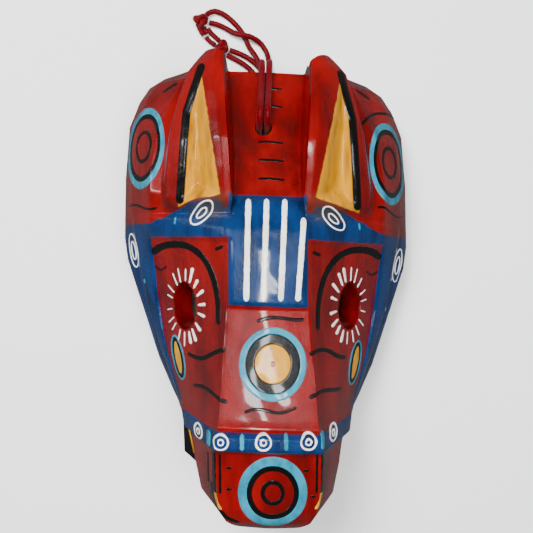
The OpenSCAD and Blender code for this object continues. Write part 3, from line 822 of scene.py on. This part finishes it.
def stroke(points, width, thickness=0.2, tail=1.0):
    """One pull of the brush: round at both ends, tail times as wide at its end as at its start."""
    path = smooth_path(points, 0.7)
    run = np.concatenate([[0], np.cumsum(np.linalg.norm(np.diff(path, axis=0), axis=1))])
    half = width / 2 * (1 + (tail - 1) * run / run[-1])
    half = half * (1 + 0.12 * lattice_noise(run, path[:, 0] * 3 + path[:, 1], 2.6, 31))
    cap = np.minimum(np.minimum(run, run[-1] - run) / (width / 2), 1)
    half = half * np.sqrt(np.clip(1 - (1 - cap) ** 2, 0.004, 1))
    ahead = np.gradient(path, axis=0)
    ahead /= np.linalg.norm(ahead, axis=1)[:, None]
    across = np.stack([-ahead[:, 1], ahead[:, 0]], axis=1)
    return film(path + across * half[:, None], path - across * half[:, None], thickness)


def dot(x, y, across_x, across_y=None, lean=0, thickness=0.2):
    """A filled round or oval dab, from its upper edge to its lower."""
    turn = np.linspace(np.pi, 0, 30)
    upper = oval(x, y, across_x / 2, (across_y or across_x) / 2, lean, turn)
    lower = oval(x, y, across_x / 2, (across_y or across_x) / 2, lean, -turn)
    return film(upper, lower, thickness)


def oval(x, y, half_x, half_y, lean=0, turn=None):
    """Points round an oval whose upright axis leans by so many degrees to the right."""
    turn = np.linspace(0, 2 * np.pi, 90, endpoint=False) if turn is None else turn
    u, v = half_x * np.cos(turn), half_y * np.sin(turn)
    a = np.radians(-lean)
    return np.stack([x + u * np.cos(a) - v * np.sin(a), y + u * np.sin(a) + v * np.cos(a)], axis=1)


def hoop(outer, inner, lean=0, thickness=0.2):
    """A painted ring between two ovals, each (x, y, half width, half height), a little uneven."""
    turn = np.linspace(0, 2 * np.pi, 110, endpoint=False)
    edges = []
    for k, (x, y, half_x, half_y) in enumerate((outer, inner)):
        wander = 0.2 * lattice_noise(x + 5 * np.cos(turn), y + 5 * np.sin(turn), 3.1, 41 + k)
        edges.append(oval(x, y, half_x, half_y, lean, turn) + wander[:, None] * np.stack(
            [np.cos(turn), np.sin(turn)], axis=1))
    return film(edges[1], edges[0], thickness, closed=True)


def ring(x, y, half_x, half_y, width, lean=0, thickness=0.2):
    """A painted ring of even width inside an oval outline."""
    return hoop((x, y, half_x, half_y), (x, y, half_x - width, half_y - width), lean, thickness)


def rays(side, x, y):
    """White rays round an eye hole, in the plan: they start just outside its oval outline."""
    narrow = eye_r * float(np.cos(eye_tilt))
    spread = np.random.default_rng(50 + side)
    strokes = []
    for k in range(18):
        turn = 2 * np.pi * (k + 0.3) / 18 + spread.uniform(-0.05, 0.05)
        out = np.array([narrow * np.cos(turn), eye_r * np.sin(turn)])
        inner = side * np.cos(turn) < -0.3
        start, stop = 1.1, 1.72 + spread.uniform(-0.08, 0.12)
        centre = np.array([x, y])
        strokes.append(stroke([centre + out * start, centre + out * stop],
                              1.15 if inner else 0.8, tail=1.7 if inner else 1.0))
    return strokes


def painted(name, parts, material):
    """One piece for all the strokes of one colour."""
    piece = mesh_object(name, *joined(parts))
    piece.data.materials.append(material)
    return piece


def arc(x, y, half_x, half_y, first, last, squareness=1.0):
    """Points along an oval arc between two angles in degrees; under 1, squareness fills its corners."""
    turn = np.radians(np.linspace(first, last, 14))
    c, s = np.cos(turn), np.sin(turn)
    return np.stack([x + half_x * np.sign(c) * np.abs(c) ** squareness,
                     y + half_y * np.sign(s) * np.abs(s) ** squareness], axis=1)


def wave(x, y, length, rise, tilt=0.0, bends=1.5, start=0.0):
    """Points along a wavy line centred at (x, y): a sine of so many half turns, tilted by degrees."""
    t = np.linspace(-0.5, 0.5, 14)
    along, across = length * t, rise * np.sin(np.pi * (bends * (t + 0.5) + start))
    a = np.radians(tilt)
    return np.stack([x + along * np.cos(a) - across * np.sin(a),
                     y + along * np.sin(a) + across * np.cos(a)], axis=1)


def dash(x, y, length, tilt, width=1.5):
    """A short straight pull of the brush."""
    return stroke(wave(x, y, length, 0, tilt)[[0, -1]], width)


def lowered(side, y):
    """A height on one side of the face: the painter kept the right side a little lower."""
    return y - side * side_drop / 4


# The ornaments' places, worked out from the carving.
nose_y = (forelock_from_y + noseband_to_y) / 2 + 1.5
muzzle_y = (noseband_y - end_y) / 2
band_y = (noseband_y + noseband_to_y) / 2
middle_x = 2.2
nose_ring_r = 0.74 * float(at(crown_x, nose_y))
muzzle_ring_r = 0.68 * float(at(crown_x, muzzle_y))
side_ring_y, side_ring_half = 73.0, (13.4, 24.4)
band_circles = [band_share * float(at(crown_x, band_y)) for band_share in (-1.4, -0.9, -0.1, 0.75, 1.3)]

white, turquoise, black, yellow = [], [], [], []
for k in range(4):
    x = -10 + k * 9.4
    top, foot = forelock_to_y - 2 - (k == 3) * 10, forelock_from_y + 2
    white.append(stroke([(x, top), (x - 1 - k * 0.8, foot)], 2.9))
for side in (-1, 1):
    white += rays(side, side * eye_x, eye_y * sy)
    for half_x, half_y in ((4.4, 8), (2, 3.8)):
        white.append(ring(side * 34.5, lowered(side, 36.5), half_x, half_y, 0.9, -side * 46))
    for half_x, half_y in ((3.4, 10.2), (1.9, 5.6)):
        white.append(ring(side * 78.6, lowered(side, 15) - side * 3, half_x, half_y, 0.85, side * 8))
for x in band_circles:
    half = 4.1 if abs(x) < 30 else 2.8
    white += [ring(x, band_y, half, 4.1, 0.95), ring(x, band_y, half * 0.42, 1.8, 0.8)]
for first, second in zip(band_circles[:-1], band_circles[1:]):
    turquoise.append(dash((first + second) / 2, band_y, 7.6, 90, 2.2))


def target(x, y, radius, tall, bands):
    """Concentric painted rings: bands are (list, outer share, inner share) of the radius."""
    for paint, outer, inner in bands:
        paint.append(hoop((x, y, radius * outer, radius * outer * tall),
                          (x, y, radius * inner, radius * inner * tall), thickness=0.22))


target(middle_x, nose_y, nose_ring_r, 1.08, [(turquoise, 1, 0.8), (black, 0.82, 0.52)])
yellow.append(dot(middle_x, nose_y, nose_ring_r * 1.06, nose_ring_r * 1.16, thickness=0.3))
target(middle_x, muzzle_y, muzzle_ring_r, 1.08, [(turquoise, 1, 0.74), (black, 0.76, 0.6),
                                                 (black, 0.35, 0.23)])
for side in (-1, 1):
    x = side * (float(at(ear_edge_x, side_ring_y)) + 2.2 + float(at(cheek_x, side_ring_y))) / 2
    y = lowered(side, side_ring_y) - side * 3
    target(x, y, side_ring_half[0], side_ring_half[1] / side_ring_half[0],
           [(turquoise, 1, 0.82), (black, 0.84, 0.7)])
    target(x, y, side_ring_half[0], 1.7, [(black, 0.43, 0.32)])
    x, y, lean = side * 49.8, lowered(side, -42.5), side * 11
    turquoise.append(ring(x, y, 4.4, 12.8, 1.3, lean))
    black.append(hoop((x, y, 3.2, 11.6), (x, y, 1.7, 9.2), lean, 0.24))
    yellow.append(dot(x, y, 3.5, 18.4, lean, 0.22))
    turquoise += [stroke(arc(side * 45, lowered(side, 31), 4.6, 8, 90 - side * 60, 90 - side * 90), 1.3),
                  dash(side * 71.5, lowered(side, -7) - side * 7, 3, 90, 1.4)]
    # Brow: an oval arc over and inside the eye.
    black.append(stroke(arc(side * 51, lowered(side, -19), 25.5, 39.5, 90 - side * 30, 90 + side * 92, 0.85),
                        4.2, tail=0.6))
    black += [dash(side * 25, lowered(side, 18), 5, -side * 20, 1.9),
              stroke(wave(side * 60, lowered(side, 9), 8, 2.4, 0, 1, 1), 1.1)]
    # Waves on the cheek, on the head's side and beside the muzzle.
    black += [stroke(wave(side * 32, -35.5, 23, 2.3, -side * 8, 1.6, 1 if side < 0 else 0), 2.3),
              stroke(wave(side * 30, -54.5, 20, 1.6, side * 3, 1.5), 2.1),
              stroke(wave(side * 70, lowered(side, 42), 20, 2, 0, 1.5, 0.3), 1.4),
              dash(side * 55.5, lowered(side, 111), 10, -side * 30 + 180 * (side > 0), 1.9)]
    lines = 4 if side < 0 else 3
    for k in range(lines):
        x = side * (27 if k == 0 else 20.5 + 3.4 * k)
        black.append(dash(x, -92, 23 - 2 * k, 90, 2.3 if k == 0 else 1.3))
    yellow.append(stroke(arc(side * 17, -102, 9.6, 11, 90 - side * 92, 90 - side * 140), 1.6, 0.34))
black.append(stroke(arc(-12, -99, 16, 19, 178, 262), 3.8, tail=0.5))
black += [stroke(wave(6, -16.5, 24, 1.2, 5, 1.6), 1.9), stroke(wave(1, -61, 26, 1.3, 4, 2.2), 1.6)]
black += [dash(x, y, 3, 0) for x, y in ((-19.5, -89), (-19.5, -100), (18.5, -90.5), (22, -104))]
# Rungs down the channel between the ears: one every 11 mm, but none over the cord hole.
for y in np.arange(56, 115, 11):
    if abs(y - cord_hole_y) > 6:
        black.append(stroke(wave(2, y, 14, 0.4, -3, 1), 1.5))
black.append(stroke(wave(66, 96, 30, 3, 28, 1.3), 1.7))

painted("white_strokes", white, white_enamel)
painted("turquoise_strokes", turquoise, turquoise_enamel)
painted("black_strokes", black, black_enamel)
painted("yellow_dabs", yellow, yellow_enamel)
strip = np.array([(-45.2, -84), (-42.8, -84.5), (-40.2, -98.5), (-42.2, -97.8)])
levels = np.repeat([43.4, 44.2], 4)[:, None]
painted("jaw_stripe", [(np.hstack([np.vstack([strip, strip]), levels]),
                        [(0, 1, 2, 3), (7, 6, 5, 4)] + [(k, k + 4, (k + 1) % 4 + 4, (k + 1) % 4)
                                                        for k in range(4)])], yellow_enamel)
painted("red_dot", [dot(middle_x, nose_y, 2.2, 3.4, thickness=0.42)], red_enamel)


# ---------------------------------------------------------------- ground and light

def ground():
    """A large pale card just below the plane the rim lies on."""
    mesh = bpy.data.meshes.new("ground")
    reach, drop = 2, -0.0004
    corners = [(-reach, -reach, drop), (reach, -reach, drop), (reach, reach, drop), (-reach, reach, drop)]
    mesh.from_pydata(corners, [], [(0, 1, 2, 3)])
    mesh.materials.append(pale_card())
    sheet = bpy.data.objects.new("ground", mesh)
    sheet.visible_glossy = False
    bpy.context.scene.collection.objects.link(sheet)
    return sheet


def softbox(name, place, target, width, height, watts, mirrored=True):
    """A rectangular area light aimed at a point; one that is not mirrored leaves no glint."""
    data = bpy.data.lights.new(name, "AREA")
    data.shape = "RECTANGLE"
    data.size, data.size_y, data.energy = width, height, watts
    lamp = bpy.data.objects.new(name, data)
    lamp.location = place
    lamp.visible_glossy = mirrored
    lamp.rotation_euler = (Vector(target) - Vector(place)).to_track_quat("-Z", "Y").to_euler()
    bpy.context.scene.collection.objects.link(lamp)
    return lamp


def sky(strength):
    """Even white light from all round."""
    world = bpy.data.worlds.new("sky")
    world.use_nodes = True
    put(world.node_tree.nodes["Background"], {"Color": "#FFFFFF", "Strength": strength})
    bpy.context.scene.world = world
    return world


sky(0.12)
ground()
softbox("key", (-0.30, 0.42, 1.05), (0, 0, 0.06), 0.40, 0.40, 25, mirrored=False)
softbox("fill", (0.28, -0.15, 1.10), (0, 0, 0.05), 0.50, 0.50, 12, mirrored=False)
softbox("window", (0.0, 0.16, 1.05), (0, 0, 0.10), 0.06, 0.30, 1.7)
softbox("far_window", (-0.75, 0.25, 0.55), (0, 0, 0.05), 0.12, 0.40, 1.6)
